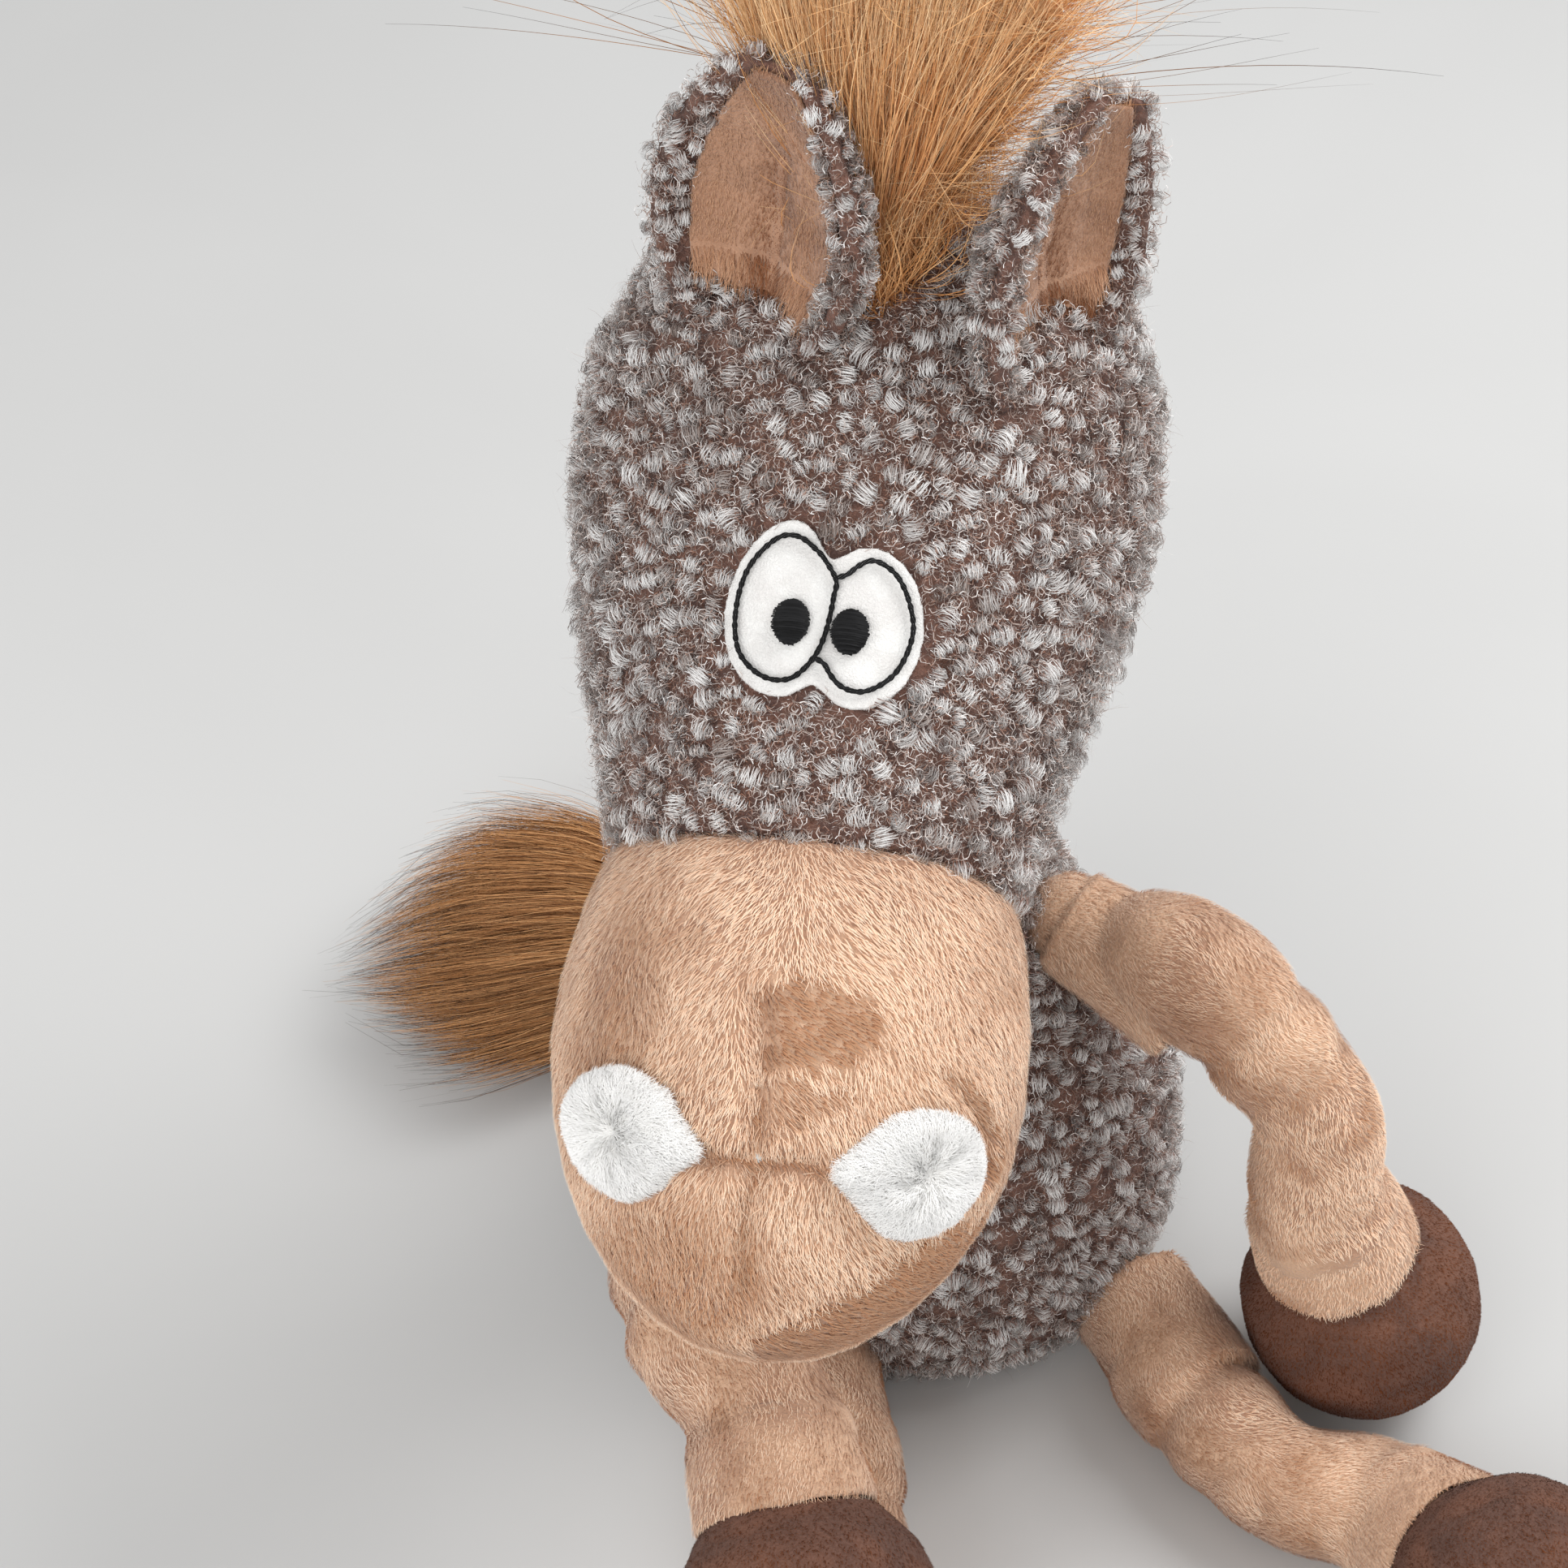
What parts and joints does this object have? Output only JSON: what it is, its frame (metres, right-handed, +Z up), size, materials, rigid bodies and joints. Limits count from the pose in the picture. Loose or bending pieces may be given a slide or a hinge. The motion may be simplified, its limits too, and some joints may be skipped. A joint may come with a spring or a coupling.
{
  "type": "plush horse",
  "caption": "Sitting soft toy horse with a long curly head, round muzzle, leaf ears, fur mane and tail, floppy tube limbs and round hooves.",
  "frame": {"origin": "middle of the flat seat, on the surface that the horse sits on", "axes": "+Z up, the horse faces -Y, its own left is +X"},
  "size_m": [0.3055, 0.3238, 0.3775],
  "materials": {
    "curly_plush": "grey-white curly plush over a brown ground",
    "tan_plush": "short tan plush",
    "brown_suede": "brown suede-like cloth",
    "white_felt": "white felt",
    "ear_lining": "pale smooth plush",
    "black_thread": "black embroidery thread",
    "mane_fur": "long golden-brown fur",
    "tail_fur": "long orange-brown fur with dark tips",
    "stuffing_fibre": "white fibre filling",
    "pellet_bag": "bag of plastic pellets"
  },
  "bodies": {
    "torso": {"torso_cover": "curly_plush", "torso_stuffing": "stuffing_fibre", "pellet_bag": "pellet_bag"},
    "neck": {"neck": "curly_plush"},
    "head": {"head_cover": "curly_plush", "head_stuffing": "stuffing_fibre", "muzzle_cover": "tan_plush", "muzzle_stuffing": "stuffing_fibre", "eye_patch": "white_felt", "eye_stitching_left": "black_thread", "eye_stitching_right": "black_thread", "pupil_left": "black_thread", "pupil_right": "black_thread", "nostril_left": "white_felt", "nostril_right": "white_felt", "mane": "mane_fur"},
    "ear_left": {"ear_left_outer": "curly_plush", "ear_left_lining": "ear_lining"},
    "ear_right": {"ear_right_outer": "curly_plush", "ear_right_lining": "ear_lining"},
    "tail": {"tail": "tail_fur"},
    "upper_arm_left": {"upper_arm_left": "tan_plush"},
    "forearm_left": {"forearm_left": "tan_plush"},
    "hand_hoof_left": {"hand_hoof_left": "brown_suede"},
    "upper_arm_right": {"upper_arm_right": "tan_plush"},
    "forearm_right": {"forearm_right": "tan_plush"},
    "hand_hoof_right": {"hand_hoof_right": "brown_suede"},
    "thigh_left": {"thigh_left": "tan_plush"},
    "shin_left": {"shin_left": "tan_plush"},
    "foot_hoof_left": {"foot_hoof_left": "brown_suede"},
    "thigh_right": {"thigh_right": "tan_plush"},
    "shin_right": {"shin_right": "tan_plush"},
    "foot_hoof_right": {"foot_hoof_right": "brown_suede"}
  },
  "joints": [
    {"name": "neck_turn", "type": "hinge", "parent": "torso", "child": "neck", "pos_m": [-0.011, 0, 0.1383], "axis": [0, 0, -1], "range_deg": [-30, 30]},
    {"name": "head_nod", "type": "hinge", "parent": "neck", "child": "head", "pos_m": [-0.013, 0.004, 0.1873], "axis": [-0.989, 0.148, 0], "range_deg": [-10, 25]},
    {"name": "ear_left_flop", "type": "hinge", "parent": "head", "child": "ear_left", "pos_m": [0.01756, -0.03012, 0.27416], "axis": [0.5879, 0.656, -0.4734], "range_deg": [0, 25]},
    {"name": "ear_right_flop", "type": "hinge", "parent": "head", "child": "ear_right", "pos_m": [-0.04569, -0.02135, 0.28081], "axis": [0.7782, -0.6239, -0.0722], "range_deg": [0, 25]},
    {"name": "tail_swing", "type": "hinge", "parent": "torso", "child": "tail", "pos_m": [-0.01386, 0.06202, 0.0276], "axis": [0, 0, -1], "range_deg": [-8, 30]},
    {"name": "shoulder_left", "type": "hinge", "parent": "torso", "child": "upper_arm_left", "pos_m": [0.03009, -0.01376, 0.12103], "axis": [0, -1, 0], "range_deg": [0, 60]},
    {"name": "elbow_left", "type": "hinge", "parent": "upper_arm_left", "child": "forearm_left", "pos_m": [0.07287, -0.04042, 0.10987], "axis": [0, -1, 0], "range_deg": [0, 40]},
    {"name": "hand_hoof_left", "type": "hinge", "parent": "forearm_left", "child": "hand_hoof_left", "pos_m": [0.09333, -0.04972, 0.05159], "axis": [0, -1, 0], "range_deg": [0, 20]},
    {"name": "shoulder_right", "type": "hinge", "parent": "torso", "child": "upper_arm_right", "pos_m": [-0.03551, -0.0301, 0.12006], "axis": [-0.2496, 0, -0.9684], "range_deg": [0, 50]},
    {"name": "elbow_right", "type": "hinge", "parent": "upper_arm_right", "child": "forearm_right", "pos_m": [-0.05597, -0.08652, 0.10518], "axis": [-0.2, 0, -0.9798], "range_deg": [0, 40]},
    {"name": "hand_hoof_right", "type": "hinge", "parent": "forearm_right", "child": "hand_hoof_right", "pos_m": [-0.03303, -0.1448, 0.09092], "axis": [-1, 0, 0], "range_deg": [0, 20]},
    {"name": "hip_left", "type": "hinge", "parent": "torso", "child": "thigh_left", "pos_m": [0.04931, -0.03976, 0.01697], "axis": [0, 0, 1], "range_deg": [-25, 0]},
    {"name": "knee_left", "type": "hinge", "parent": "thigh_left", "child": "shin_left", "pos_m": [0.06869, -0.0775, 0.01697], "axis": [0, 0, -1], "range_deg": [0, 30]},
    {"name": "foot_hoof_left", "type": "hinge", "parent": "shin_left", "child": "foot_hoof_left", "pos_m": [0.11357, -0.11014, 0.02003], "axis": [0, 0, 1], "range_deg": [-20, 20]},
    {"name": "hip_right", "type": "hinge", "parent": "torso", "child": "thigh_right", "pos_m": [-0.02625, -0.05765, 0.01697], "axis": [0, 0, 1], "range_deg": [0, 10]},
    {"name": "knee_right", "type": "hinge", "parent": "thigh_right", "child": "shin_right", "pos_m": [-0.02013, -0.10661, 0.01697], "axis": [0, 0, 1], "range_deg": [0, 15]},
    {"name": "foot_hoof_right", "type": "hinge", "parent": "shin_right", "child": "foot_hoof_right", "pos_m": [-0.02115, -0.15965, 0.02003], "axis": [0, 0, 1], "range_deg": [0, 20]}
  ]
}
